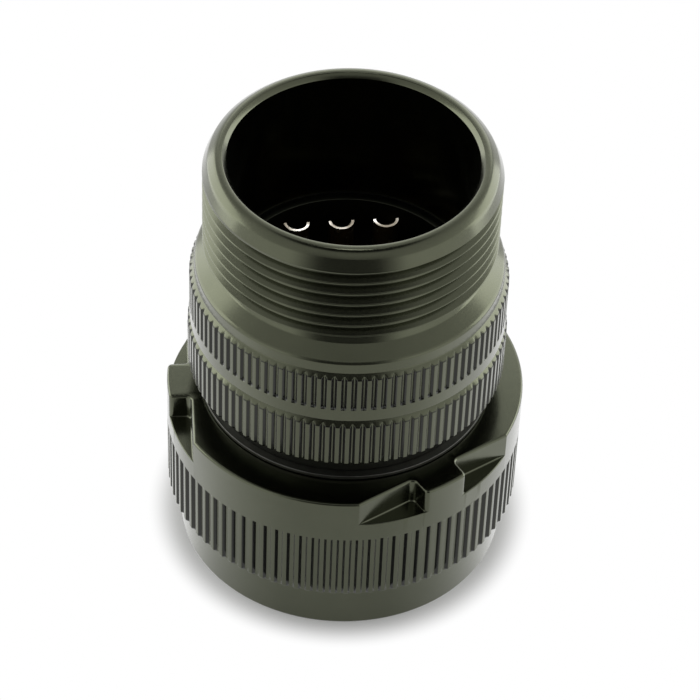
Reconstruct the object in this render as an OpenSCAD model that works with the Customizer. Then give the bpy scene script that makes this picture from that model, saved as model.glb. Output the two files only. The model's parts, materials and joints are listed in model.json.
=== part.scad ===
// Straight cable plug with a threaded coupling nut and solder contacts, shell size 20.
// Millimetres. The axis is +Z: the mating end is at z = 0, where the plug stands, and the cable end is up.

/* [Coupling nut] */
// Major diameter of the coupling thread
coupling_thread_d = 31.75; // [30:0.05:34]
// Pitch of the coupling thread
coupling_pitch = 1.411; // [1:0.001:1.6]
// Wall of the nut outside the coupling thread
nut_wall = 2.96; // [2.4:0.01:3.6]
// Length of the nut
nut_len = 19.7; // [18:0.1:22]
// Thickness of the inward web at the rear of the nut
nut_web = 4; // [3.4:0.1:5]
// Length of the thread relief in front of the web
nut_relief_len = 3.1; // [2.8:0.1:3.6]
// Radial step from the knurl down to the smooth skirt
skirt_step = 1.38; // [0.6:0.01:1.6]
// Length of the smooth skirt
skirt_len = 5; // [3:0.1:6]
// Height of the slope between the skirt and the knurl
skirt_slope = 1.1; // [0.4:0.05:1.6]
// Length of the knurl above that slope
nut_knurl_len = 8.3; // [6:0.1:9]
// Number of knurl teeth on the nut
nut_teeth = 90; // [60:1:110]
// Depth of the knurl grooves on the nut
nut_groove_depth = 0.45; // [0.2:0.05:0.7]
// Chamfer on the nut's rear edge
nut_chamfer = 0.3; // [0.1:0.05:0.8]

/* [Wrench lugs] */
// Number of lugs
lug_count = 3; // [2:1:4]
// Width of a lug
lug_w = 5; // [3:0.1:7]
// Height of the flats beside the lugs
lug_h = 3; // [2:0.1:3.6]
// Depth of the flats below the nut's outside, at the middle of a lug
flat_depth = 2.44; // [1.6:0.01:2.8]
// Radius of the corner between a flat and its lug
lug_fillet = 0.6; // [0.2:0.1:1]
// Direction of the first lug, turning from +X to +Y
lug_angle = -54.3; // [-180:0.1:180]

/* [Barrel] */
// Height of the flange's shoulder above the bearing land that the nut turns on
flange_step = 0.41; // [0.31:0.01:0.71]
// Thickness of the flange
flange_h = 2.1; // [1.5:0.1:3]
// Room between the sleeve and the coupling thread's crests, for the mating shell
mating_space = 1.51; // [1.2:0.01:2.2]
// Wall of the sleeve round the insulators
sleeve_wall = 1.6; // [1.5:0.05:2.4]
// Distance from the nut's front rim back to the sleeve's front edge
sleeve_recess = 0.8; // [0.4:0.1:2]
// Width of the polarising keyway in the sleeve
keyway_w = 3; // [2:0.1:4]
// Depth of the polarising keyway in the sleeve
keyway_depth = 1; // [0.6:0.05:1]
// Bare neck between the nut and the end bell
neck_gap = 3.6; // [2:0.1:6]
// Length of the barrel's rear thread, inside the end bell
barrel_thread_len = 10.6; // [9:0.1:10.8]

/* [End bell] */
// Wall of the end bell outside the barrel's rear thread, at the front knurl
bell_wall = 2.04; // [1.8:0.01:3]
// Length of the front knurl
front_knurl_len = 5.25; // [4:0.05:7]
// Height of the turned V groove behind the front knurl
knurl_relief_h = 0.85; // [0.4:0.05:1.2]
// Depth of that groove below the front knurl
knurl_relief_depth = 0.8; // [0.4:0.05:1]
// Length of the plain band between the knurls
plain_band_h = 1.5; // [0.8:0.1:3]
// Radial step from the front knurl down to the rear knurl
knurl_step = 0.17; // [0:0.01:0.4]
// Length of the rear knurl
rear_knurl_len = 4.15; // [3:0.05:6]
// Height of the slope from the rear knurl up to the collar
collar_slope_h = 0.55; // [0.3:0.05:1]
// Radial step from the rear knurl down to the collar
collar_step = 0.52; // [0.2:0.01:0.8]
// Height of the collar behind that slope
collar_h = 1.3; // [0.6:0.1:2.5]
// Height of the sloping shoulder behind the collar
shoulder_h = 1.3; // [0.6:0.1:2]
// Number of knurl teeth on the end bell
bell_teeth = 102; // [60:1:120]
// Depth of the knurl grooves on the end bell
bell_groove_depth = 0.3; // [0.15:0.01:0.6]

/* [Rear thread and cable entry] */
// Wall of the cable entry under the crests of the cable-clamp thread
clamp_wall = 2.42; // [2.2:0.01:2.8]
// Length of the cable-clamp thread
clamp_thread_len = 9.75; // [7:0.05:14]
// Pitch of the cable-clamp thread
clamp_pitch = 1.411; // [1:0.001:1.6]
// Depth of the relief groove below the thread's crests
clamp_relief_depth = 0.9; // [0.6:0.05:1]
// Height of the relief groove under the thread
clamp_relief_h = 1; // [0.6:0.1:2]
// Chamfer on the outer rear edge
rear_chamfer = 1.3; // [0.6:0.05:1.5]
// Width of the shoulder inside the end bell, between its thread and the cable entry
bell_shoulder = 1.89; // [1.2:0.01:2.2]
// Chamfer on the mouth of the cable entry
entry_chamfer = 0.45; // [0.2:0.05:0.6]

/* [Insulators] */
// Wall of the front insulator outside the pocket for the contacts' collars
insert_rim = 0.8; // [0.6:0.05:1.6]
// Step on the front insulator that stops it in the barrel
insert_step = 0.6; // [0.4:0.05:0.8]
// Length of the insulator's nose in front of that step
nose_len = 2.8; // [2:0.1:4]
// Distance from the sleeve's front edge back to the insulator's face
insert_recess = 0.4; // [0:0.1:1]
// Length of the front insulator
front_insert_len = 13.3; // [12:0.1:15]
// Length of the rear insulator
rear_insert_len = 11; // [9:0.1:12]
// Width of the insulators' locating key
key_w = 1.6; // [1:0.1:2.5]
// Height of the insulators' locating key
key_h = 0.5; // [0.3:0.05:0.6]
// Direction of the contact rows, turning from +X to +Y
insert_angle = 7.5; // [-45:0.5:45]

/* [Contacts] */
// Diameter of a contact's socket and solder cup
contact_d = 2.7; // [2.3:0.05:2.8]
// Diameter of the collar that the insulators clamp
collar_d = 3.5; // [3.2:0.05:3.8]
// Length of that collar
contact_collar_len = 1.6; // [1:0.1:2.4]
// Diameter of the socket hole
socket_d = 1.6; // [1.4:0.05:1.7]
// Depth of the socket hole
socket_depth = 9; // [7:0.1:9.6]
// Length of the slots that let the socket spring
slot_len = 6.5; // [4:0.1:7]
// Width of those slots
slot_w = 0.4; // [0.2:0.05:0.6]
// Distance from the insulator's face back to the sockets' mouths
socket_recess = 1.1; // [0.8:0.1:2]
// Length of the solder cup behind the rear insulator
cup_len = 8.9; // [7:0.1:8.9]
// Diameter of the hole in the solder cup
cup_d = 2.1; // [1.5:0.05:2.1]
// Depth of the hole in the solder cup
cup_depth = 6.5; // [5:0.1:6.8]
// Length of the half-cut mouth of the solder cup
cup_cut = 3.9; // [2:0.1:4.5]

/* [Rings and seals] */
// How far the ring that holds the nut on stands out from the bearing land
nut_ring_lip = 0.85; // [0.6:0.05:1.2]
// Thickness of that ring
nut_ring_t = 0.45; // [0.3:0.05:0.8]
// Depth of that ring's groove in the barrel
nut_ring_groove = 0.6; // [0.4:0.05:0.8]
// How far the ring that holds the insulators reaches into the bore
insert_ring_lip = 0.7; // [0.5:0.05:0.8]
// Thickness of that ring
insert_ring_t = 0.8; // [0.5:0.05:1.2]
// Depth of that ring's groove in the barrel
insert_ring_groove = 0.65; // [0.4:0.05:0.8]
// Gap in both split rings
ring_split = 3; // [1:0.5:6]
// Thickness of the seal in front of the flange
mating_gasket_t = 1; // [0.5:0.1:1.5]
// Thickness of the seal inside the end bell
bell_gasket_t = 0.5; // [0.3:0.1:0.8]
// How far that seal stays back from the cable entry
bell_gasket_back = 0.3; // [0.1:0.05:0.5]

/* [Fits] */
// Radial clearance between the nut and the barrel's bearing land
nut_gap = 0.1; // [0.05:0.01:0.15]
// End play of the nut at its web and at its ring
nut_play = 0.1; // [0.05:0.01:0.2]
// Radial clearance between the flange and the crests of the coupling thread
flange_gap = 0.2; // [0.1:0.01:0.3]
// Radial clearance in the assembled thread of the end bell
thread_gap = 0.05; // [0.02:0.01:0.1]
// Radial clearance round the insulators, the contacts and the rings
seat_gap = 0.05; // [0.02:0.01:0.08]

/* [Hidden] */
$fn = 96;
// How far a cut runs past the face that it opens
cut = 1;
// Depth of a 60 degree thread for each unit of pitch, and its flats on the crests and in the roots
thread_share = 0.54127;
crest_share = 0.125;
root_share = 0.25;
// Shares of a tooth pitch that are land and groove floor
nut_land_share = 0.42;
nut_floor_share = 0.4;
bell_land_share = 0.42;
bell_floor_share = 0.1;
// Small edge breaks on turned edges
edge = 0.2;
thread_lead = 0.7;
// How far the locating keys stop short of the insulators' ends
key_margin = 0.4;
// Turn that sets the nut's teeth against its lugs
nut_tooth_angle = 1;
// Contacts in each row, front view from the cable end
contact_rows = [3, 4, 3, 4, 3];

// Radii from the coupling thread inwards
coupling_r = coupling_thread_d / 2;
coupling_minor_r = coupling_r - thread_share * coupling_pitch;
nut_r = coupling_r + nut_wall;
skirt_r = nut_r - skirt_step;
flange_r = coupling_minor_r - flange_gap;
land_r = flange_r - flange_step;
web_bore_r = land_r + nut_gap;
flat_r = nut_r - flat_depth;
sleeve_r = coupling_minor_r - mating_space;
bore_r = sleeve_r - sleeve_wall;
insert_r = bore_r - seat_gap;
nose_r = insert_r - insert_step;
nut_ring_r = land_r + nut_ring_lip;
insert_ring_r = bore_r - insert_ring_lip;

// Radii of the end bell
bell_bore_r = land_r + thread_gap;
front_knurl_r = bell_bore_r + bell_wall;
rear_knurl_r = front_knurl_r - knurl_step;
collar_r = rear_knurl_r - collar_step;
cable_r = bell_bore_r - bell_shoulder;
clamp_r = cable_r + clamp_wall;
clamp_root_r = clamp_r - thread_share * clamp_pitch;

// Heights of the nut and the barrel
knurl_z = skirt_len + skirt_slope;
knurl_top = knurl_z + nut_knurl_len;
web_z = nut_len - nut_web;
flange_top = web_z - nut_play;
flange_z = flange_top - flange_h;
sleeve_z = sleeve_recess;
nut_ring_z = nut_len + nut_play;
bell_z = nut_len + neck_gap;
barrel_top = bell_z + barrel_thread_len;

// Heights of the end bell
bell_seat = barrel_top + bell_gasket_t;
front_knurl_top = bell_z + front_knurl_len;
band_z = front_knurl_top + knurl_relief_h;
rear_knurl_z = band_z + plain_band_h;
rear_knurl_top = rear_knurl_z + rear_knurl_len;
collar_z = rear_knurl_top + collar_slope_h;
collar_top = collar_z + collar_h;
shoulder_top = collar_top + shoulder_h;
thread_z = shoulder_top + clamp_relief_h;
thread_top = thread_z + clamp_thread_len;
bell_top = thread_top + rear_chamfer;
clamp_turns = round(clamp_thread_len / clamp_pitch);
clamp_step = clamp_thread_len / clamp_turns;

// Heights of the insulators and the contacts
insert_face = sleeve_z + insert_recess;
stop_z = insert_face + nose_len;
joint_z = insert_face + front_insert_len;
insert_back = joint_z + rear_insert_len;
collar_front = joint_z - contact_collar_len;
socket_tip = insert_face + socket_recess;
cup_tip = insert_back + cup_len;
contact_r = contact_d / 2;
hole_r = contact_r + seat_gap;
contact_collar_r = collar_d / 2;

// Places of the contacts, row by row: first in pitches, then spread as far as the insulators allow
pattern = [
    for (row = [0 : len(contact_rows) - 1])
        for (i = [0 : contact_rows[row] - 1])
            [
                i - (contact_rows[row] - 1) / 2,
                ((len(contact_rows) - 1) / 2 - row) * sin(60)
            ]
];
pattern_r = insert_r - insert_rim - seat_gap - contact_collar_r;
contact_pitch = pattern_r / max([for (place = pattern) norm(place)]);
contact_places = contact_pitch * pattern;
contact_count = len(contact_places);

function contact_name(i) = str("contact_", i < 9 ? "0" : "", i + 1);

// Colours of the finishes
olive_metal = "#4a4d44";
dark_insulator = "#1d1d1c";
seal_rubber = "#2b2c2a";
spring_steel = "#6b6b66";
silver_plate = "#d8d0b8";

// A turned body from its outline in [radius, height] points
module turned(outline) {
    rotate_extrude() polygon(outline);
}

// A flat ring between two radii
module ring(inner_r, outer_r, z, height) {
    turned([[inner_r, z], [outer_r, z], [outer_r, z + height], [inner_r, z + height]]);
}

// What a straight knurl of trapezoid grooves takes away
module knurl_cut(teeth, r, depth, land_share, floor_share, z, height) {
    step = 360 / teeth;
    land = step * land_share / 2;
    groove = step * floor_share / 2;
    rim = r + cut;
    root = r - depth;
    translate([0, 0, z])
        linear_extrude(height)
            difference() {
                circle(r = rim + cut);
                polygon([
                    for (i = [0 : teeth - 1])
                        for (p = [[rim, -land], [rim, land],
                                  [root, step / 2 - groove], [root, step / 2 + groove]])
                            p[0] * [cos(i * step + p[1]), sin(i * step + p[1])]
                ]);
            }
}

// One of the two notches beside a lug, with the lug's direction along +Y
module lug_notch(side) {
    reach = nut_r + cut;
    translate([0, 0, nut_len - lug_h])
        linear_extrude(lug_h + cut)
            mirror([side, 0, 0])
                translate([lug_w / 2, flat_r])
                    difference() {
                        square(reach);
                        difference() {
                            square(lug_fillet);
                            translate([lug_fillet, lug_fillet]) circle(r = lug_fillet);
                        }
                    }
}

module coupling_nut() {
    thread_mouth = coupling_r - coupling_minor_r;
    color(olive_metal)
        difference() {
            turned([
                [coupling_r, 0],
                [skirt_r - edge, 0],
                [skirt_r, edge],
                [skirt_r, skirt_len],
                [nut_r, knurl_z],
                [nut_r, nut_len - nut_chamfer],
                [nut_r - nut_chamfer, nut_len],
                [web_bore_r + edge, nut_len],
                [web_bore_r, nut_len - edge],
                [web_bore_r, web_z],
                [coupling_r + edge, web_z],
                [coupling_r + edge, web_z - nut_relief_len],
                [coupling_minor_r, web_z - nut_relief_len],
                [coupling_minor_r, thread_mouth]
            ]);
            rotate([0, 0, nut_tooth_angle])
                knurl_cut(nut_teeth, nut_r, nut_groove_depth, nut_land_share, nut_floor_share,
                          skirt_len, knurl_top - skirt_len);
            for (i = [0 : lug_count - 1])
                rotate([0, 0, lug_angle - 90 + i * 360 / lug_count])
                    for (side = [0, 1]) lug_notch(side);
        }
}

module barrel() {
    ring_seat_r = land_r - nut_ring_groove;
    ring_seat_top = nut_ring_z + nut_ring_t + seat_gap;
    color(olive_metal)
        difference() {
            turned([
                [nose_r + seat_gap, sleeve_z],
                [sleeve_r - 2 * edge, sleeve_z],
                [sleeve_r, sleeve_z + 2 * edge],
                [sleeve_r, flange_z],
                [flange_r, flange_z],
                [flange_r, flange_top],
                [land_r, flange_top],
                [land_r, nut_ring_z - seat_gap],
                [ring_seat_r, nut_ring_z - seat_gap],
                [ring_seat_r, ring_seat_top],
                [land_r, ring_seat_top],
                [land_r, barrel_top - thread_lead],
                [land_r - thread_lead, barrel_top],
                [bore_r, barrel_top],
                [bore_r, stop_z],
                [nose_r + seat_gap, stop_z]
            ]);
            ring(bore_r - cut, bore_r + insert_ring_groove, insert_back, insert_ring_t + seat_gap);
            rotate([0, 0, insert_angle]) {
                translate([-keyway_w / 2, sleeve_r - keyway_depth, 0])
                    cube([keyway_w, keyway_depth + cut, flange_z - mating_gasket_t]);
                translate([-key_w / 2 - seat_gap, -bore_r - key_h, stop_z + key_margin - seat_gap])
                    cube([key_w + 2 * seat_gap, bore_r, barrel_top - stop_z]);
            }
        }
}

// The cable-clamp thread's outline, turn by turn: each turn is a ring, because the lead is left out
function clamp_outline() = [
    for (i = [0 : clamp_turns - 1])
        for (p = [[clamp_r, crest_share / 2], [clamp_root_r, (1 - root_share) / 2],
                  [clamp_root_r, (1 + root_share) / 2], [clamp_r, 1 - crest_share / 2]])
            [p[0], thread_z + (i + p[1]) * clamp_step]
];

module end_bell() {
    groove_r = front_knurl_r - knurl_relief_depth;
    color(olive_metal)
        difference() {
            turned(concat([
                [bell_bore_r + 2 * edge, bell_z],
                [front_knurl_r - edge, bell_z],
                [front_knurl_r, bell_z + edge],
                [front_knurl_r, front_knurl_top],
                [groove_r, band_z],
                [rear_knurl_r, band_z],
                [rear_knurl_r, rear_knurl_top],
                [collar_r, collar_z],
                [collar_r, collar_top - edge],
                [collar_r - edge, collar_top],
                [clamp_r - clamp_relief_depth, shoulder_top],
                [clamp_r - clamp_relief_depth, thread_z],
                [clamp_r, thread_z]
            ], clamp_outline(), [
                [clamp_r, thread_top],
                [clamp_r - rear_chamfer, bell_top],
                [cable_r + entry_chamfer, bell_top],
                [cable_r, bell_top - entry_chamfer],
                [cable_r, bell_seat],
                [bell_bore_r, bell_seat],
                [bell_bore_r, bell_z + 2 * edge]
            ]));
            knurl_cut(bell_teeth, front_knurl_r, bell_groove_depth, bell_land_share, bell_floor_share,
                      bell_z - cut, front_knurl_len + cut + knurl_relief_h * 3 / 4);
            knurl_cut(bell_teeth, rear_knurl_r, bell_groove_depth, bell_land_share, bell_floor_share,
                      rear_knurl_z, rear_knurl_len + collar_slope_h);
        }
}

// A ring with a gap on the far side, so that it springs into its groove
module split_ring(inner_r, outer_r, z, height) {
    difference() {
        ring(inner_r, outer_r, z, height);
        translate([-ring_split / 2, 0, z - cut]) cube([ring_split, outer_r + cut, height + 2 * cut]);
    }
}

module nut_retaining_ring() {
    color(spring_steel)
        split_ring(land_r - nut_ring_groove + seat_gap, nut_ring_r, nut_ring_z, nut_ring_t);
}

module insert_retaining_ring() {
    color(spring_steel)
        split_ring(insert_ring_r, bore_r + insert_ring_groove - seat_gap, insert_back, insert_ring_t);
}

// Repeats its children at every contact
module at_contacts() {
    rotate([0, 0, insert_angle])
        for (place = contact_places)
            translate([place[0], place[1], 0]) children();
}

// The locating key on an insulator's side, just short of the insulator's ends
module locating_key(z, top) {
    rotate([0, 0, insert_angle])
        translate([-key_w / 2, -insert_r - key_h, z + key_margin])
            cube([key_w, 2 * key_h, top - z - 2 * key_margin]);
}

// A pocket in its rear face takes all the contacts' collars, and the rear insulator closes it
module front_insert() {
    pocket_r = insert_r - insert_rim;
    color(dark_insulator)
        difference() {
            union() {
                turned([
                    [0, insert_face],
                    [nose_r, insert_face],
                    [nose_r, stop_z],
                    [insert_r, stop_z],
                    [insert_r, joint_z],
                    [pocket_r, joint_z],
                    [pocket_r, collar_front],
                    [0, collar_front]
                ]);
                locating_key(stop_z, joint_z);
            }
            at_contacts()
                translate([0, 0, insert_face - cut])
                    cylinder(r = hole_r, h = collar_front - insert_face + 2 * cut);
        }
}

module rear_insert() {
    color(dark_insulator)
        difference() {
            union() {
                ring(0, insert_r, joint_z, rear_insert_len);
                locating_key(joint_z, insert_back);
            }
            at_contacts()
                translate([0, 0, joint_z - cut]) cylinder(r = hole_r, h = rear_insert_len + 2 * cut);
        }
}

module mating_gasket() {
    color(seal_rubber)
        ring(sleeve_r + seat_gap, flange_r, flange_z - mating_gasket_t, mating_gasket_t);
}

module bell_gasket() {
    color(seal_rubber)
        ring(cable_r + bell_gasket_back, land_r - seat_gap, barrel_top, bell_gasket_t);
}

// A socket in front, a clamped collar, and a solder cup cut half away at its mouth
module contact(i) {
    tip_r = contact_r - edge;
    socket_r = socket_d / 2;
    color(silver_plate)
        rotate([0, 0, insert_angle])
            translate([contact_places[i][0], contact_places[i][1], 0])
                difference() {
                    turned([
                        [0, socket_tip],
                        [tip_r, socket_tip],
                        [contact_r, socket_tip + 2 * edge],
                        [contact_r, collar_front],
                        [contact_collar_r, collar_front],
                        [contact_collar_r, joint_z],
                        [contact_r, joint_z],
                        [contact_r, cup_tip],
                        [0, cup_tip]
                    ]);
                    translate([0, 0, socket_tip - cut]) cylinder(r = socket_r, h = socket_depth + cut);
                    translate([-contact_d, -slot_w / 2, socket_tip - cut])
                        cube([2 * contact_d, slot_w, slot_len + cut]);
                    translate([0, 0, cup_tip - cup_depth]) cylinder(r = cup_d / 2, h = cup_depth + cut);
                    translate([-contact_d, 0, cup_tip - cup_cut])
                        cube([2 * contact_d, contact_d, cup_cut + cut]);
                }
}

coupling_nut();
barrel();
end_bell();
nut_retaining_ring();
front_insert();
rear_insert();
insert_retaining_ring();
mating_gasket();
bell_gasket();
for (i = [0 : contact_count - 1])
    contact(i);
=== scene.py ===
import json
import math

import bmesh
import bpy
from mathutils import Matrix, Vector


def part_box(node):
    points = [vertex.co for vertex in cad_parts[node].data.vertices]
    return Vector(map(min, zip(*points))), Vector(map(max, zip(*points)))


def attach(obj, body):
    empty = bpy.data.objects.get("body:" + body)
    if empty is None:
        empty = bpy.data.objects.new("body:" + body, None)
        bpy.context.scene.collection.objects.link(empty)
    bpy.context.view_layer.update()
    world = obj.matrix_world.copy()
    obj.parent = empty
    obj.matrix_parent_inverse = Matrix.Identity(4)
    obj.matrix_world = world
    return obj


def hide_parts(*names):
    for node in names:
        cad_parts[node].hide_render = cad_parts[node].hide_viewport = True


# Looks of the straight plug connector: finely edged meshes of the coupling nut and the end bell with their
# threads, finishes for every piece, floor, light and camera. The frame is in metres, and the sizes here are
# in millimetres.

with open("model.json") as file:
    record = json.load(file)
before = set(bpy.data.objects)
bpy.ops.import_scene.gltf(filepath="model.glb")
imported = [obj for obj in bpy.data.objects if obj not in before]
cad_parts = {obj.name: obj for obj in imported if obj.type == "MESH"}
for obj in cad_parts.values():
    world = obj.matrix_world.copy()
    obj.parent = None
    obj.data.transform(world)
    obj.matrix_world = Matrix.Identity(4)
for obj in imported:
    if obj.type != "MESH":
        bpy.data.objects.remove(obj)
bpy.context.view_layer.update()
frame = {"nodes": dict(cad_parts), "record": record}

MM = 0.001
TAU = 2 * math.pi
FRONT = -math.pi / 2

# Sizes that the frame gives
mounts = {mount["name"]: mount for mount in frame["record"]["mounts"]}
clamp_r = mounts["rear_thread"]["dims"]["r_mm"]
clamp_thread_len = mounts["rear_thread"]["dims"]["length_mm"]
cable_r = mounts["cable_entry"]["dims"]["r_mm"]
nut_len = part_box("coupling_nut")[1].z / MM
bell_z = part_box("end_bell")[0].z / MM
bell_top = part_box("end_bell")[1].z / MM
bell_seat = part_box("bell_gasket")[1].z / MM

# Coupling nut
nut_r = 18.835
skirt_r = 17.455
skirt_len = 5.0
skirt_slope = 1.1
nut_knurl_top = skirt_len + skirt_slope + 8.3
nut_teeth = 90
nut_groove = 0.4
nut_tooth_turn = math.radians(1)
nut_tooth = [(0.15, 0.0), (0.17, 0.06), (0.33, 0.94), (0.35, 1.0)]
web_bore_r = 14.6
web_z = nut_len - 4.0
nut_relief_r = 16.075
nut_relief_z = web_z - 3.1
nut_edge = 0.3

# Wrench lugs of the nut
lug_count = 3
lug_turn = math.radians(-54.3)
lug_half = 2.5
lug_floor = nut_len - 3.0
flat_r = nut_r - 2.44
lug_fillet = 0.6
lug_corner = 0.5
floor_fillet = 0.22
floor_edge = 0.12
floor_spread = 1.6

# End bell, from its front end to its rear end
bell_bore_r = 14.55
front_knurl_r = 16.59
front_knurl_top = bell_z + 5.25
front_cone_r = 15.79
band_z = front_knurl_top + 0.85
rear_knurl_r = 16.42
rear_knurl_z = band_z + 1.5
rear_knurl_top = rear_knurl_z + 4.15
collar_z = rear_knurl_top + 0.55
collar_r = 15.9
collar_top = collar_z + 1.3
clamp_relief_r = clamp_r - 0.9
clamp_relief_taper = 0.35
shoulder_top = collar_top + 1.3
thread_z = shoulder_top + 1.0
thread_top = thread_z + clamp_thread_len
bell_teeth = 102
bell_groove = 0.3
bell_tooth = [(0.175, 0.0), (0.197, 0.03), (0.213, 0.11), (0.437, 0.95), (0.462, 1.0)]
bell_groove_runout = 0.25
entry_chamfer = 0.45
rear_chamfer = bell_top - thread_top
rear_nose = 1.9
rear_tip = 0.72
rear_tip_slope = 1.13
rear_edge = 0.27

# Both threads: pitch, depth, and the form of one side of a turn as shares of the pitch and of the depth
thread_pitch = 1.411
thread_depth = 0.541 * thread_pitch
thread_form = [
    (0.0, 0.0), (0.008, 0.0), (0.033, 0.025), (0.06, 0.085), (0.075, 0.13),
    (0.335, 0.915), (0.35, 0.96), (0.38, 1.0), (0.5, 1.0),
]
clamp_crest_z = 41.29
clamp_runout = 0.5
coupling_minor_r = 15.11
thread_columns = 204

# Small edge breaks, on the new meshes and on the solids that are carried over
edge = 0.2
fine = 0.05
solid_break = 0.07
contact_break = 0.12

# Meshes: the gap that is welded, the thinnest face that is kept, and the turns that count as an edge
weld_gap = 0.002
thinnest = 0.0005
crease = math.radians(50)
break_crease = math.radians(40)

# Painted shade on the flanks of the knurls: its colour, the share of a groove's depth left out at each end,
# and its blur
flank_shade_colour = (0.012, 0.013, 0.009)
flank_shade_end = 0.08
flank_shade_blur = 0.02

# Where the lights and the camera point
aim = Vector((0, 0, 25))


class Skin:
    """A closed surface, built from rings of points in millimetres."""

    def __init__(self):
        self.points = []
        self.faces = []

    def ring(self, points):
        start = len(self.points)
        self.points.extend(points)
        return list(range(start, len(self.points)))

    def join(self, one, other):
        """Quads between two rings with as many points."""
        for i in range(len(one)):
            j = (i + 1) % len(one)
            self.faces.append((one[i], one[j], other[j], other[i]))

    def stack(self, ring, rows):
        """Joins a ring to each of the next rows in turn, and gives back the last."""
        for row in rows:
            above = self.ring(row)
            self.join(ring, above)
            ring = above
        return ring

    def lathe(self, ring, profile):
        """Joins a ring to a circle at each place of a profile, and gives back the last."""
        return self.stack(ring, [circle(r, z) for r, z in profile])

    def angles(self, ring, start):
        """Angles of a ring's points round the axis from start, always rising."""
        found = []
        for index in ring:
            x, y, _ = self.points[index]
            angle = (math.atan2(y, x) - start) % TAU
            if found:
                angle += TAU * round((found[-1] - angle) / TAU)
            found.append(angle)
        return found

    def zip(self, one, other):
        """Triangles between two rings with different counts, matched by their angles."""
        x, y, _ = self.points[one[0]]
        start = math.atan2(y, x)
        gaps = [abs(math.remainder(self.angles([index], start)[0], TAU)) for index in other]
        nearest = gaps.index(min(gaps))
        other = other[nearest:] + other[:nearest]
        ones = self.angles(one, start)
        others = self.angles(other, start)
        if others[0] > math.pi:
            others = [angle - TAU for angle in others]
        ones.append(ones[0] + TAU)
        others.append(others[0] + TAU)
        one = one + one[:1]
        other = other + other[:1]
        i = 0
        j = 0
        while i < len(one) - 1 or j < len(other) - 1:
            step_one = j == len(other) - 1 or (i < len(one) - 1 and ones[i + 1] <= others[j + 1])
            if step_one:
                self.faces.append((one[i], one[i + 1], other[j]))
                i += 1
            else:
                self.faces.append((one[i], other[j + 1], other[j]))
                j += 1

    def thread(self, low, z0, z1, crest_z, radius):
        """A right-hand helical strip from a ring at z0 up to z1. Gives back its top ring."""
        form = [share for share, _ in thread_form]
        shares = form[:-1] + [1 - share for share in reversed(form[1:])]
        first = math.floor((z0 - crest_z) / thread_pitch) - 1
        last = math.ceil((z1 - crest_z) / thread_pitch)
        row = None
        for turn in range(first, last + 1):
            for share in shares:
                points = []
                for column in range(thread_columns + 1):
                    part = column / thread_columns
                    z = min(max(crest_z + (turn + share + part) * thread_pitch, z0), z1)
                    turns = (z - crest_z) / thread_pitch - part
                    points.append(polar(radius(z, turns), FRONT + part * TAU, z))
                above = self.ring(points)
                if row is None:
                    self.join(low, above[:-1])
                else:
                    for i in range(thread_columns):
                        self.faces.append((row[i], row[i + 1], above[i + 1], above[i]))
                row = above
        return row[:-1]

    def tie(self, ring, row):
        """Zips a ring to a row with another count, and gives back that row's ring."""
        above = self.ring(row)
        self.zip(ring, above)
        return above

    def piece(self, name):
        """The surface as an object, welded, with smooth faces and clean edge shading."""
        mesh = bpy.data.meshes.new(name)
        mesh.from_pydata([Vector(point) * MM for point in self.points], [], self.faces)
        work = bmesh.new()
        work.from_mesh(mesh)
        bmesh.ops.remove_doubles(work, verts=work.verts, dist=weld_gap * MM)
        bmesh.ops.dissolve_degenerate(work, dist=thinnest * MM, edges=work.edges)
        bmesh.ops.recalc_face_normals(work, faces=work.faces)
        work.to_mesh(mesh)
        work.free()
        mesh.shade_smooth()
        mesh.set_sharp_from_angle(angle=crease)
        made = bpy.data.objects.new(name, mesh)
        bpy.context.scene.collection.objects.link(made)
        made.modifiers.new("Edge shading", "WEIGHTED_NORMAL").keep_sharp = True
        return made


class Knurl:
    """A straight knurl, as the angles round it and how deep each lies below the teeth."""

    def __init__(self, teeth, r, depth, half_tooth, turn):
        tooth = [(-share, drop) for share, drop in reversed(half_tooth)] + half_tooth
        self.r = r
        self.shape = [
            (turn + (i + share) * TAU / teeth, drop * depth) for i in range(teeth) for share, drop in tooth
        ]

    def row(self, z, share=1.0, limit=math.inf):
        """One row of the knurl, with its grooves cut to a share of their depth."""
        return [polar(min(self.r - share * drop, limit), angle, z) for angle, drop in self.shape]

    def plain(self, r, z):
        """A plain circle on the same angles."""
        return [polar(r, angle, z) for angle, _ in self.shape]

    def end(self, z, rise):
        """Rows of the teeth's ends, cut by a cone that starts at z and climbs by rise per step inwards."""
        deepest = max(drop for _, drop in self.shape) + 2 * fine
        columns = []
        for angle, drop in self.shape:
            foot = (self.r - drop, z + drop * rise)
            rows = bend((foot[0], foot[1] - fine), foot, (foot[0] - fine, foot[1] + fine * rise), 2)
            rows.append((self.r - deepest, z + deepest * rise))
            columns.append([polar(r, angle, height) for r, height in rows])
        return [list(row) for row in zip(*columns)]


def polar(r, angle, z):
    return (r * math.cos(angle), r * math.sin(angle), z)


def circle(r, z):
    return [polar(r, FRONT + i * TAU / thread_columns, z) for i in range(thread_columns)]


def bend(start, corner, end, steps=3):
    """Points of a round corner between two places of a profile."""
    points = []
    for i in range(steps + 1):
        t = i / steps
        points.append(tuple(
            (1 - t) ** 2 * a + 2 * t * (1 - t) * b + t ** 2 * c for a, b, c in zip(start, corner, end)
        ))
    return points


def thread_drop(turns):
    """Depth of the thread's form below its crest, at a distance along the axis in turns from a crest."""
    share = abs(turns - round(turns))
    for (s0, d0), (s1, d1) in zip(thread_form, thread_form[1:]):
        if share <= s1:
            return thread_depth * (d0 + (d1 - d0) * (share - s0) / (s1 - s0))
    return thread_depth


def clamp_radius(z, turns):
    """Radius of the clamp thread, which starts square at its relief and runs out under the rear nose."""
    full = min((bell_top - rear_nose - z) / clamp_runout, 1.0)
    return clamp_r - full * thread_drop(turns)


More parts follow.
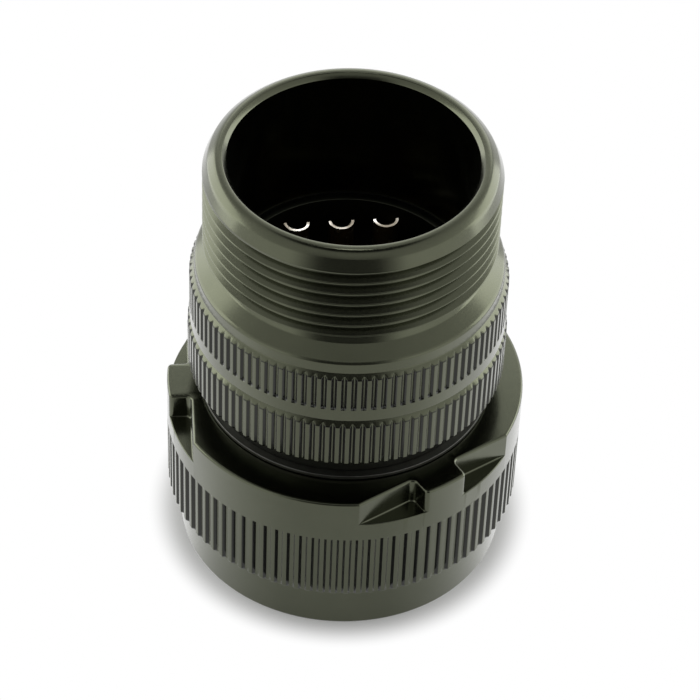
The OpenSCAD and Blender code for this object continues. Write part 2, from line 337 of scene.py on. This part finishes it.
def coupling_radius(z, turns):
    """Radius of the coupling thread inside the nut, opened by the chamfer at its mouth."""
    return max(coupling_minor_r + thread_drop(turns), coupling_minor_r + thread_depth - z)


def add_bell_knurls(skin, inner_edge):
    """Adds the end bell's front face, its knurls and the band between them. Gives back the last ring."""
    front = Knurl(bell_teeth, front_knurl_r, bell_groove, bell_tooth, 0)
    rear = Knurl(bell_teeth, rear_knurl_r, bell_groove, bell_tooth, 0)
    start = bend((front_knurl_r - edge, bell_z), (front_knurl_r, bell_z), (front_knurl_r, bell_z + edge))
    ring = skin.tie(inner_edge, front.row(bell_z, limit=start[0][0]))
    ring = skin.stack(ring, [front.row(z, limit=r) for r, z in start[1:]])
    front_rise = (band_z - front_knurl_top) / (front_knurl_r - front_cone_r)
    ring = skin.stack(ring, front.end(front_knurl_top, front_rise))
    ring = skin.tie(ring, circle(front_cone_r, band_z))
    ring = skin.lathe(ring, [
        *bend((rear_knurl_r - 2 * fine, band_z), (rear_knurl_r, band_z), (rear_knurl_r, band_z + 2 * fine)),
        (rear_knurl_r, rear_knurl_z - 2 * fine),
    ])
    ring = skin.tie(ring, rear.plain(rear_knurl_r, rear_knurl_z))
    rear_rise = (collar_z - rear_knurl_top) / (rear_knurl_r - collar_r)
    ring = skin.stack(ring, [
        rear.row(rear_knurl_z + bell_groove_runout * 0.3, share=0.55),
        rear.row(rear_knurl_z + bell_groove_runout),
        *rear.end(rear_knurl_top, rear_rise),
    ])
    cone_end = bend(
        (collar_r + fine, collar_z - fine * rear_rise), (collar_r, collar_z), (collar_r, collar_z + fine), 2)
    ring = skin.tie(ring, circle(*cone_end[0]))
    return skin.lathe(ring, cone_end[1:])


def make_end_bell():
    """The end bell, from its front face over the outside and back through the cable entry."""
    skin = Skin()
    inner_edge = skin.ring(circle(bell_bore_r + 2 * edge, bell_z))
    ring = add_bell_knurls(skin, inner_edge)
    profile = [
        *bend((collar_r, collar_top - edge), (collar_r, collar_top),
              (collar_r - 1.5 * edge, collar_top + edge)),
        *bend((clamp_relief_r + 2 * fine, shoulder_top - 2 * fine), (clamp_relief_r, shoulder_top),
              (clamp_relief_r - fine, shoulder_top + 2 * fine), 2),
        (clamp_relief_r - clamp_relief_taper, thread_z - fine),
    ]
    ring = skin.lathe(ring, profile)
    rim_r = clamp_r - rear_chamfer
    nose_z = bell_top - rear_nose
    tip_r = rim_r + rear_tip * rear_tip_slope
    tip_z = bell_top - rear_tip
    nose_slope = (clamp_r - tip_r) / (rear_nose - rear_tip)
    ring = skin.thread(ring, thread_z, nose_z, clamp_crest_z, clamp_radius)
    profile = [
        (clamp_r - fine * nose_slope, nose_z + fine),
        *bend((tip_r + 2 * edge * nose_slope, tip_z - 2 * edge), (tip_r, tip_z),
              (tip_r - 2 * fine * rear_tip_slope, tip_z + 2 * fine), 5),
        *bend((rim_r + rear_edge * rear_tip_slope, bell_top - rear_edge), (rim_r, bell_top),
              (rim_r - rear_edge, bell_top), 5),
        *bend((cable_r + entry_chamfer + fine, bell_top), (cable_r + entry_chamfer, bell_top),
              (cable_r + entry_chamfer - fine, bell_top - fine), 2),
        *bend((cable_r + fine, bell_top - entry_chamfer + fine), (cable_r, bell_top - entry_chamfer),
              (cable_r, bell_top - entry_chamfer - fine), 2),
        *bend((cable_r, bell_seat + fine), (cable_r, bell_seat), (cable_r + fine, bell_seat), 2),
        *bend((bell_bore_r - fine, bell_seat), (bell_bore_r, bell_seat), (bell_bore_r, bell_seat - fine), 2),
        (bell_bore_r, bell_z + 2 * edge),
    ]
    ring = skin.lathe(ring, profile)
    skin.join(ring, inner_edge)
    return skin.piece("knurled_end_bell")


def arc(u, v, r, start, end, steps):
    """Points of an arc round a middle, from one angle to another."""
    angles = [start + (end - start) * i / steps for i in range(steps + 1)]
    return [(u + r * math.cos(angle), v + r * math.sin(angle)) for angle in angles]


def quarter_round(shares):
    """How far a quarter round has to go along its first side, and how far it has come along its second."""
    return [(1 - math.sin(share * math.pi / 2), 1 - math.cos(share * math.pi / 2)) for share in shares]


def lug_outline(inset):
    """Outline of the nut's lugged end across the axis, drawn in by an inset."""
    corner_steps = 4
    fillet_steps = 5
    flat_steps = 6
    rim_steps = 10
    r = nut_r - inset
    corner_v = lug_half - lug_corner
    corner_u = math.sqrt((nut_r - lug_corner) ** 2 - corner_v ** 2)
    corner_turn = math.atan2(corner_v, corner_u)
    flat = flat_r - inset
    flat_start = lug_half + lug_fillet
    flat_end = math.sqrt(r ** 2 - flat ** 2)
    rim_turn = math.atan2(flat_end, flat) + fine / r
    flat_len = flat_end - fine - flat_start
    half = [
        *arc(0, 0, r, 0, corner_turn, corner_steps)[:-1],
        *arc(corner_u, corner_v, lug_corner - inset, corner_turn, math.pi / 2, corner_steps),
        *arc(flat_r + lug_fillet, flat_start, lug_fillet + inset, -math.pi / 2, -math.pi, fillet_steps),
        *((flat, flat_start + flat_len * i / flat_steps) for i in range(1, flat_steps + 1)),
        *arc(0, 0, r, rim_turn, math.pi / lug_count, rim_steps),
    ]
    whole = [(u, -v) for u, v in reversed(half[1:-1])] + half
    points = []
    for lug in range(lug_count):
        turn = lug_turn + lug * TAU / lug_count
        c = math.cos(turn)
        s = math.sin(turn)
        points.extend((u * c - v * s, u * s + v * c) for u, v in whole)
    return points


def flat_rims(wall):
    """For each point of the lugs' walls, the point where the floor beside it meets the nut's outside."""
    flat_turn = math.atan2(math.sqrt(nut_r ** 2 - flat_r ** 2), flat_r)
    corner_turn = math.asin((lug_half - lug_corner) / (nut_r - lug_corner))
    side_turn = math.atan2(lug_half, flat_r + lug_fillet)
    floor_turn = side_turn * floor_spread
    rims = []
    for x, y in wall:
        r = math.hypot(x, y)
        angle = math.atan2(y, x)
        away = math.remainder(angle - lug_turn, TAU / lug_count)
        if r < nut_r - 1e-6:
            if abs(away) < side_turn:
                depth = (nut_r - r) / (nut_r - flat_r)
                spread = corner_turn + (floor_turn - corner_turn) * depth
            else:
                share = (abs(away) - side_turn) / (flat_turn - side_turn)
                spread = floor_turn + (flat_turn - floor_turn) * share
            angle += math.copysign(spread - abs(away), away)
        rims.append((nut_r * math.cos(angle), nut_r * math.sin(angle)))
    return rims


def lug_rows():
    """Rows of the nut's rear end: plain band, floors of the flats, their walls and the rounded edge.

    Where a floor is narrow, its edge and its fillet are smaller."""
    wall = lug_outline(0)
    rims = flat_rims(wall)
    lengths = [math.hypot(x1 - x0, y1 - y0) for (x0, y0), (x1, y1) in zip(wall, rims)]
    edge_share = 0.3
    fillet_share = 0.4
    breaks = [min(floor_edge, edge_share * length) for length in lengths]
    fillets = [min(floor_fillet, fillet_share * length) for length in lengths]
    count = range(len(wall))

    def beside(i, reach, z):
        """Place at a reach from a wall's point towards the rim."""
        (x0, y0), (x1, y1) = wall[i], rims[i]
        if lengths[i] < 1e-6:
            return x0, y0, z
        return x0 + (x1 - x0) * reach / lengths[i], y0 + (y1 - y0) * reach / lengths[i], z

    rows = [[(x, y, nut_knurl_top + edge) for x, y in rims]]
    for low, back in quarter_round((0.0, 0.5, 1.0)):
        rows.append([beside(i, lengths[i] - breaks[i] * back, lug_floor - breaks[i] * low) for i in count])
    # Two rows keep the floor flat between its edge and its fillet
    rows.append([beside(i, lengths[i] - 1.3 * breaks[i], lug_floor) for i in count])
    rows.append([beside(i, 1.2 * fillets[i], lug_floor) for i in count])
    for out, up in quarter_round((0.0, 0.33, 0.67, 1.0)):
        rows.append([beside(i, fillets[i] * out, lug_floor + fillets[i] * up) for i in count])
    for low, back in quarter_round((0.0, 0.25, 0.5, 0.75, 1.0)):
        rows.append([(x, y, nut_len - nut_edge * low) for x, y in lug_outline(nut_edge * back)])
    return rows


def add_nut_front(skin, ring):
    """Adds the nut's skirt, slope and knurl to the ring of its mouth. Gives back the last ring."""
    knurl = Knurl(nut_teeth, nut_r, nut_groove, nut_tooth, nut_tooth_turn)
    knurl_z = skirt_len + skirt_slope
    floor_r = nut_r - nut_groove
    slope = (nut_r - skirt_r) / skirt_slope
    profile = [
        *bend((skirt_r - edge, 0), (skirt_r, 0), (skirt_r, edge)),
        *bend((skirt_r, skirt_len - fine), (skirt_r, skirt_len),
              (skirt_r + fine * slope, skirt_len + fine), 2),
    ]
    ring = skin.lathe(ring, profile)
    groove_z = skirt_len + (floor_r - skirt_r) / slope
    ring = skin.tie(ring, knurl.row(groove_z, limit=floor_r))
    slope_rows = 5
    slope_end = knurl_z - 2 * fine
    for i in range(1, slope_rows):
        z = groove_z + (slope_end - groove_z) * i / slope_rows
        ring = skin.stack(ring, [knurl.row(z, limit=skirt_r + (z - skirt_len) * slope)])
    end_r = skirt_r + (slope_end - skirt_len) * slope
    shoulder = bend((end_r, slope_end), (nut_r, knurl_z), (nut_r, knurl_z + 2 * fine))
    ring = skin.stack(ring, [knurl.row(z, limit=r) for r, z in shoulder])
    return skin.stack(ring, [
        knurl.row(nut_knurl_top - 2 * fine),
        knurl.row(nut_knurl_top - fine, share=0.75),
        knurl.plain(nut_r, nut_knurl_top),
        knurl.plain(nut_r, nut_knurl_top + 2 * fine),
    ])


def make_coupling_nut():
    """The coupling nut, from its mouth over the outside and back to the coupling thread."""
    skin = Skin()
    mouth = skin.ring(circle(coupling_minor_r + thread_depth + fine, 0))
    ring = add_nut_front(skin, mouth)
    rows = lug_rows()
    ring = skin.tie(ring, rows[0])
    ring = skin.stack(ring, rows[1:])
    profile = [
        *bend((web_bore_r + edge, nut_len), (web_bore_r, nut_len), (web_bore_r, nut_len - edge)),
        *bend((web_bore_r, web_z + fine), (web_bore_r, web_z), (web_bore_r + fine, web_z), 2),
        *bend((nut_relief_r - fine, web_z), (nut_relief_r, web_z), (nut_relief_r, web_z - fine), 2),
        *bend((nut_relief_r, nut_relief_z + fine), (nut_relief_r, nut_relief_z),
              (nut_relief_r - fine, nut_relief_z), 2),
    ]
    ring = skin.tie(ring, circle(*profile[0]))
    ring = skin.lathe(ring, profile[1:])
    top = skin.thread(mouth, 0, nut_relief_z, 0, coupling_radius)
    skin.join(top, ring)
    return skin.piece("knurled_coupling_nut")


def shader(name):
    """A new material, with its node tree and its shader."""
    material = bpy.data.materials.new(name)
    material.use_nodes = True
    return material, material.node_tree, material.node_tree.nodes["Principled BSDF"]


def add(tree, kind, settings=None, **inputs):
    """A new node with its settings, and its inputs as values or links, by name or as i0, i1 and so on."""
    node = tree.nodes.new(kind)
    for key, value in (settings or {}).items():
        setattr(node, key, value)
    for key, value in inputs.items():
        socket = node.inputs[key if key in node.inputs else int(key[1:])]
        if isinstance(value, bpy.types.NodeSocket):
            tree.links.new(value, socket)
        else:
            socket.default_value = value
    return node


def math_node(tree, operation, a, b=0.0):
    return add(tree, "ShaderNodeMath", {"operation": operation}, i0=a, i1=b).outputs[0]


def noise(tree, where, scale, detail=3.0, rough=0.5):
    made = add(tree, "ShaderNodeTexNoise", Vector=where, Scale=scale, Detail=detail, Roughness=rough)
    return made.outputs["Fac"]


def remap(tree, value, low, high, to_low, to_high, curve="LINEAR"):
    made = add(tree, "ShaderNodeMapRange", {"interpolation_type": curve}, Value=value)
    for key, number in (("From Min", low), ("From Max", high), ("To Min", to_low), ("To Max", to_high)):
        made.inputs[key].default_value = number
    return made.outputs[0]


def tint(tree, factor, one, other):
    made = add(tree, "ShaderNodeMix", {"data_type": "RGBA"})
    tree.links.new(factor, made.inputs[0])
    for socket, colour in ((made.inputs[6], one), (made.inputs[7], other)):
        if isinstance(colour, bpy.types.NodeSocket):
            tree.links.new(colour, socket)
        else:
            socket.default_value = (*colour, 1.0)
    return made.outputs[2]


def connect(tree, surface, colour, rough, normal):
    """Links a shader's colour, roughness and normal."""
    for key, value in (("Base Color", colour), ("Roughness", rough), ("Normal", normal)):
        tree.links.new(value, surface.inputs[key])


def measures(tree, where):
    """Distance of a place from the axis, how far it lies to the front (1 to -1), and its height."""
    split = add(tree, "ShaderNodeSeparateXYZ", Vector=where)
    across = math_node(tree, "POWER", split.outputs["X"], 2.0)
    along = math_node(tree, "POWER", split.outputs["Y"], 2.0)
    reach = math_node(tree, "SQRT", math_node(tree, "ADD", across, along))
    frontness = math_node(tree, "DIVIDE", math_node(tree, "MULTIPLY", split.outputs["Y"], -1.0), reach)
    return reach, frontness, split.outputs["Z"]


def turned_lines(tree, where, scale):
    """Fine lines that run round the axis, as a lathe tool leaves them."""
    reach, _, height = measures(tree, where)
    flat = add(tree, "ShaderNodeCombineXYZ", X=reach, Y=height)
    return noise(tree, flat.outputs[0], scale, 2.0)


def flank_shade_mask(tree, where, knurls):
    """Where the painted shade on a knurl's flanks lies, as the range of their distance from the axis between
    two heights.
    """
    reach, _, height = measures(tree, where)
    masks = []
    for r, depth, low, high in knurls:
        sides = [
            (reach, (r - (1 - flank_shade_end) * depth) * MM, 1), (reach, (r - flank_shade_end * depth) * MM, -1),
            (height, low * MM, 1), (height, high * MM, -1),
        ]
        mask = 1.0
        for value, limit, way in sides:
            blur = way * flank_shade_blur * MM
            step = remap(tree, value, limit - blur, limit + blur, 0.0, 1.0)
            mask = math_node(tree, "MULTIPLY", step, mask)
        masks.append(mask)
    whole = masks[0]
    for mask in masks[1:]:
        whole = math_node(tree, "MAXIMUM", whole, mask)
    return whole


def coated_metal(name, colour, light, rough, knurls=()):
    """Satin olive-grey coat on turned metal, with painted shade on the flanks in the knurls' grooves.

    It has faint blotches, fine grain and turning lines under a thin clear film."""
    material, tree, surface = shader(name)
    where = add(tree, "ShaderNodeTexCoord").outputs["Object"]
    blotch = noise(tree, where, 260.0, 4.0, 0.6)
    grain = noise(tree, where, 5200.0, 2.0, 0.6)
    lines = turned_lines(tree, where, 9000.0)
    shade = math_node(
        tree, "ADD", math_node(tree, "MULTIPLY", blotch, 0.6), math_node(tree, "MULTIPLY", grain, 0.4))
    coat = tint(tree, remap(tree, shade, 0.35, 0.65, 0.0, 1.0), colour, light)
    if knurls:
        # Painted shade: the knurls' flanks are darkened towards the flank shade colour
        coat = tint(tree, flank_shade_mask(tree, where, knurls), coat, flank_shade_colour)
    roughness = remap(tree, grain, 0.3, 0.7, rough - 0.05, rough + 0.05)
    height = math_node(tree, "ADD", grain, math_node(tree, "MULTIPLY", lines, 0.5))
    bump = add(tree, "ShaderNodeBump", Strength=0.13, Distance=0.02 * MM, Height=height)
    connect(tree, surface, coat, roughness, bump.outputs[0])
    surface.inputs["Metallic"].default_value = 1.0
    surface.inputs["Coat Weight"].default_value = 1.0
    surface.inputs["Coat Roughness"].default_value = rough
    return material


def plated_metal(name, colour, light, rough, scale):
    """Bare or plated metal with fine draw marks and a little tarnish."""
    material, tree, surface = shader(name)
    where = add(tree, "ShaderNodeTexCoord").outputs["Object"]
    tarnish = noise(tree, where, scale, 4.0, 0.6)
    grain = noise(tree, where, scale * 12, 2.0)
    cover = tint(tree, remap(tree, tarnish, 0.35, 0.7, 0.0, 1.0), light, colour)
    roughness = remap(tree, grain, 0.3, 0.7, rough - 0.06, rough + 0.08)
    bump = add(tree, "ShaderNodeBump", Strength=0.1, Distance=0.02 * MM, Height=grain)
    connect(tree, surface, cover, roughness, bump.outputs[0])
    surface.inputs["Metallic"].default_value = 1.0
    return material


def tarnish_and_painted_light_plating(name, tip):
    """Silver plate, dark and warm all over as tarnish and painted shade, with painted highlights on the
    upward faces of the tips and painted glints in small spots; the tips' shading leans to the front.
    """
    material, tree, surface = shader(name)
    where = add(tree, "ShaderNodeTexCoord").outputs["Object"]
    height = add(tree, "ShaderNodeSeparateXYZ", Vector=where).outputs["Z"]
    # Painted glints in small bright spots
    glint_spots = remap(tree, noise(tree, where, 700.0, 3.0), 0.6, 0.68, 0.0, 0.8)
    normal = add(tree, "ShaderNodeNewGeometry").outputs["Normal"]
    upward = remap(tree, add(tree, "ShaderNodeSeparateXYZ", Vector=normal).outputs["Z"], 0.6, 0.8, 0.0, 1.0)
    # Painted highlight on the upward faces near the tips, varied in patches
    top = math_node(tree, "MULTIPLY", upward, remap(tree, height, tip - 0.2 * MM, tip - 0.1 * MM, 0.0, 1.0))
    patches = remap(tree, noise(tree, where, 450.0, 2.0), 0.42, 0.6, 0.3, 1.0)
    painted_highlight_share = math_node(tree, "MAXIMUM", math_node(tree, "MULTIPLY", top, patches), glint_spots)
    slant = add(tree, "ShaderNodeCombineXYZ", Y=math_node(tree, "MULTIPLY", top, -0.33))
    leaning = add(tree, "ShaderNodeVectorMath", {"operation": "ADD"}, i0=normal, i1=slant.outputs[0])
    even = add(tree, "ShaderNodeVectorMath", {"operation": "NORMALIZE"}, i0=leaning.outputs[0])
    # Dark warm colour that is tarnish and painted shade, brightened to silver where the painted highlights
    # and glints lie
    plating = tint(tree, painted_highlight_share, (0.3, 0.23, 0.13), (0.97, 0.94, 0.86))
    connect(tree, surface, plating, remap(tree, painted_highlight_share, 0.0, 1.0, 0.35, 0.24), even.outputs[0])
    surface.inputs["Metallic"].default_value = 1.0
    return material


def dull_polymer(name, colour, light, rough, scale):
    """Moulded plastic or rubber with a fine matt grain."""
    material, tree, surface = shader(name)
    where = add(tree, "ShaderNodeTexCoord").outputs["Object"]
    cloud = noise(tree, where, scale, 4.0)
    grain = noise(tree, where, scale * 10, 2.0)
    cover = tint(tree, remap(tree, cloud, 0.35, 0.65, 0.0, 1.0), colour, light)
    roughness = remap(tree, grain, 0.3, 0.7, rough - 0.08, rough + 0.08)
    bump = add(tree, "ShaderNodeBump", Strength=0.2, Distance=0.03 * MM, Height=grain)
    connect(tree, surface, cover, roughness, bump.outputs[0])
    return material


# Knurls that get painted shade on their flanks: radius, groove depth, and the heights between which the
# shade lies
nut_knurls = [(nut_r, nut_groove, skirt_len + 0.3 * skirt_slope, nut_knurl_top)]
bell_knurls = [
    (front_knurl_r, bell_groove, bell_z, front_knurl_top + 0.3 * bell_groove),
    (rear_knurl_r, bell_groove, rear_knurl_z, rear_knurl_top + 0.3 * bell_groove),
]
finishes = {
    "nut_metal": coated_metal("nut_coat", (0.071, 0.08, 0.041), (0.085, 0.094, 0.052), 0.2, nut_knurls),
    "bell_metal": coated_metal("bell_coat", (0.071, 0.079, 0.04), (0.085, 0.093, 0.05), 0.2, bell_knurls),
    # The barrel's coat is a darker copy of the nut's and bell's coat, as painted shade where the barrel lies
    # inside the bell and in the gap under it
    "barrel_metal": coated_metal("barrel_coat_in_painted_shade", (0.045, 0.05, 0.032), (0.054, 0.059, 0.039), 0.4),
    "spring_steel": plated_metal("spring_steel", (0.12, 0.12, 0.11), (0.16, 0.16, 0.148), 0.42, 500.0),
    "contact_plating": tarnish_and_painted_light_plating("contact_plating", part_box("contact_01")[1].z),
    "insulator": dull_polymer("insulator", (0.012, 0.012, 0.012), (0.02, 0.02, 0.019), 0.5, 700.0),
    "seal_rubber": dull_polymer("seal_rubber", (0.018, 0.018, 0.017), (0.03, 0.03, 0.028), 0.7, 900.0),
}


def dress(piece, slot):
    """Gives a piece its finish."""
    piece.data.materials.clear()
    piece.data.materials.append(finishes[slot])


def soften(piece, width):
    """Breaks the edges of a carried-over solid."""
    weld = piece.modifiers.new("Weld", "WELD")
    weld.merge_threshold = weld_gap * MM
    bevel = piece.modifiers.new("Edge break", "BEVEL")
    bevel.width = width * MM
    bevel.segments = 3
    bevel.limit_method = "ANGLE"
    bevel.angle_limit = break_crease
    bevel.harden_normals = True


def add_piece(piece, node, body, slot):
    """Puts a new piece in place of a CAD node."""
    dress(piece, slot)
    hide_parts(node)
    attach(piece, body)


add_piece(make_end_bell(), "end_bell", "shell", "bell_metal")
add_piece(make_coupling_nut(), "coupling_nut", "nut", "nut_metal")
for subpart in frame["record"]["subparts"]:
    if subpart["node"] not in ("end_bell", "coupling_nut"):
        solid = frame["nodes"][subpart["node"]]
        slot = subpart["material_slot"]
        dress(solid, slot)
        soften(solid, contact_break if slot == "contact_plating" else solid_break)


def make_floor():
    """A white floor that keeps the soft shadow near the plug, and ends not far in front of it.

    In reflections it is white at the sides."""
    size = 2.0
    front = 0.14
    corners = [(-size, -front, 0), (size, -front, 0), (size, size, 0), (-size, size, 0)]
    shadow_r = skirt_r * MM
    shadow_end = 1.22 * shadow_r
    mesh = bpy.data.meshes.new("floor")
    mesh.from_pydata(corners, [], [(0, 1, 2, 3)])
    floor = bpy.data.objects.new("floor", mesh)
    bpy.context.scene.collection.objects.link(floor)
    material, tree, surface = shader("floor_white")
    tree.nodes.remove(surface)
    reach, frontness, _ = measures(tree, add(tree, "ShaderNodeTexCoord").outputs["Object"])
    light_path = add(tree, "ShaderNodeLightPath")
    mirrored = math_node(
        tree, "MAXIMUM", light_path.outputs["Is Glossy Ray"], light_path.outputs["Is Transmission Ray"])
    seen = remap(tree, reach, shadow_r, shadow_end, 0.15, 1.0, "SMOOTHSTEP")
    sides = remap(tree, frontness, 0.94, 0.4, 0.25, 0.9)
    share = math_node(
        tree, "MAXIMUM",
        math_node(tree, "MULTIPLY", light_path.outputs["Is Camera Ray"], seen),
        math_node(tree, "MULTIPLY", mirrored, sides))
    lit = add(tree, "ShaderNodeBsdfDiffuse", Color=(0.8, 0.8, 0.79, 1.0))
    white = add(tree, "ShaderNodeEmission", Color=(1.0, 1.0, 1.0, 1.0), Strength=1.0)
    blend = add(tree, "ShaderNodeMixShader", i0=share)
    tree.links.new(lit.outputs[0], blend.inputs[1])
    tree.links.new(white.outputs[0], blend.inputs[2])
    tree.links.new(blend.outputs[0], tree.nodes["Material Output"].inputs["Surface"])
    mesh.materials.append(material)


def add_soft_box(name, place, width, height, brightness):
    """A soft box that faces the plug, with its brightness as a share of white."""
    data = bpy.data.lights.new(name, "AREA")
    data.shape = "RECTANGLE"
    data.size = width * MM
    data.size_y = height * MM
    data.energy = brightness * math.pi * data.size * data.size_y
    lamp = bpy.data.objects.new(name, data)
    bpy.context.scene.collection.objects.link(lamp)
    away = Vector(place) - aim
    lamp.location = Vector(place) * MM
    lamp.rotation_euler = away.to_track_quat("Z", "Y").to_euler()


def make_light():
    """Bright walls under a dark ceiling, a dark front, and soft boxes left, right, behind and above."""
    world = bpy.data.worlds.new("studio")
    world.use_nodes = True
    tree = world.node_tree
    background = tree.nodes["Background"]
    _, frontness, rise = measures(tree, add(tree, "ShaderNodeTexCoord").outputs["Generated"])
    ramp = add(tree, "ShaderNodeValToRGB", Fac=rise)
    stops = [
        (0.0, 0.95), (0.3, 0.95), (0.5, 0.8), (0.7, 0.58),
        (0.8, 0.53), (0.885, 0.47), (0.93, 0.03), (1.0, 0.01),
    ]
    while len(ramp.color_ramp.elements) < len(stops):
        ramp.color_ramp.elements.new(0.5)
    for element, (position, level) in zip(ramp.color_ramp.elements, stops):
        element.position = position
        element.color = (level, level, level, 1.0)
    middle = remap(tree, frontness, 0.77, 0.94, 0.0, 0.9)
    below = remap(tree, rise, 0.73, 0.78, 1.0, 0.0)
    front = math_node(tree, "MULTIPLY", middle, below)
    level = math_node(tree, "MULTIPLY", ramp.outputs["Color"], math_node(tree, "SUBTRACT", 1.0, front))
    camera_ray = add(tree, "ShaderNodeLightPath").outputs["Is Camera Ray"]
    tree.links.new(math_node(tree, "MAXIMUM", level, camera_ray), background.inputs["Strength"])
    background.inputs["Color"].default_value = (1.0, 1.0, 1.0, 1.0)
    bpy.context.scene.world = world
    add_soft_box("left_box", (-170, 60, 75), 190, 150, 1.5)
    add_soft_box("right_box", (180, 75, 65), 170, 130, 1.6)
    add_soft_box("back_box", (30, 235, 145), 220, 150, 0.9)
    add_soft_box("top_box", (0, 60, 330), 40, 40, 5.0)


def make_camera():
    """The photograph's view, from above the cable end, with its slight roll."""
    elevation = math.radians(44.31)
    roll = math.radians(2.39)
    distance = 334.589
    shift_right = -0.358
    shift_up = 1.167
    data = bpy.data.cameras.new("camera")
    data.sensor_width = 36.0
    data.lens = 164.34
    data.clip_start = 0.01
    data.clip_end = 20.0
    back = Vector((0, -math.cos(elevation), math.sin(elevation)))
    right = Vector((1, 0, 0))
    up = back.cross(right)
    tilted_right = right * math.cos(roll) + up * math.sin(roll)
    tilted_up = up * math.cos(roll) - right * math.sin(roll)
    place = (aim + back * distance - tilted_right * shift_right - tilted_up * shift_up) * MM
    camera = bpy.data.objects.new("camera", data)
    bpy.context.scene.collection.objects.link(camera)
    turn = Matrix((tilted_right, tilted_up, back)).transposed().to_4x4()
    camera.matrix_world = Matrix.Translation(place) @ turn
    bpy.context.scene.camera = camera


make_floor()
make_light()
make_camera()
bpy.context.scene.view_settings.view_transform = "Standard"
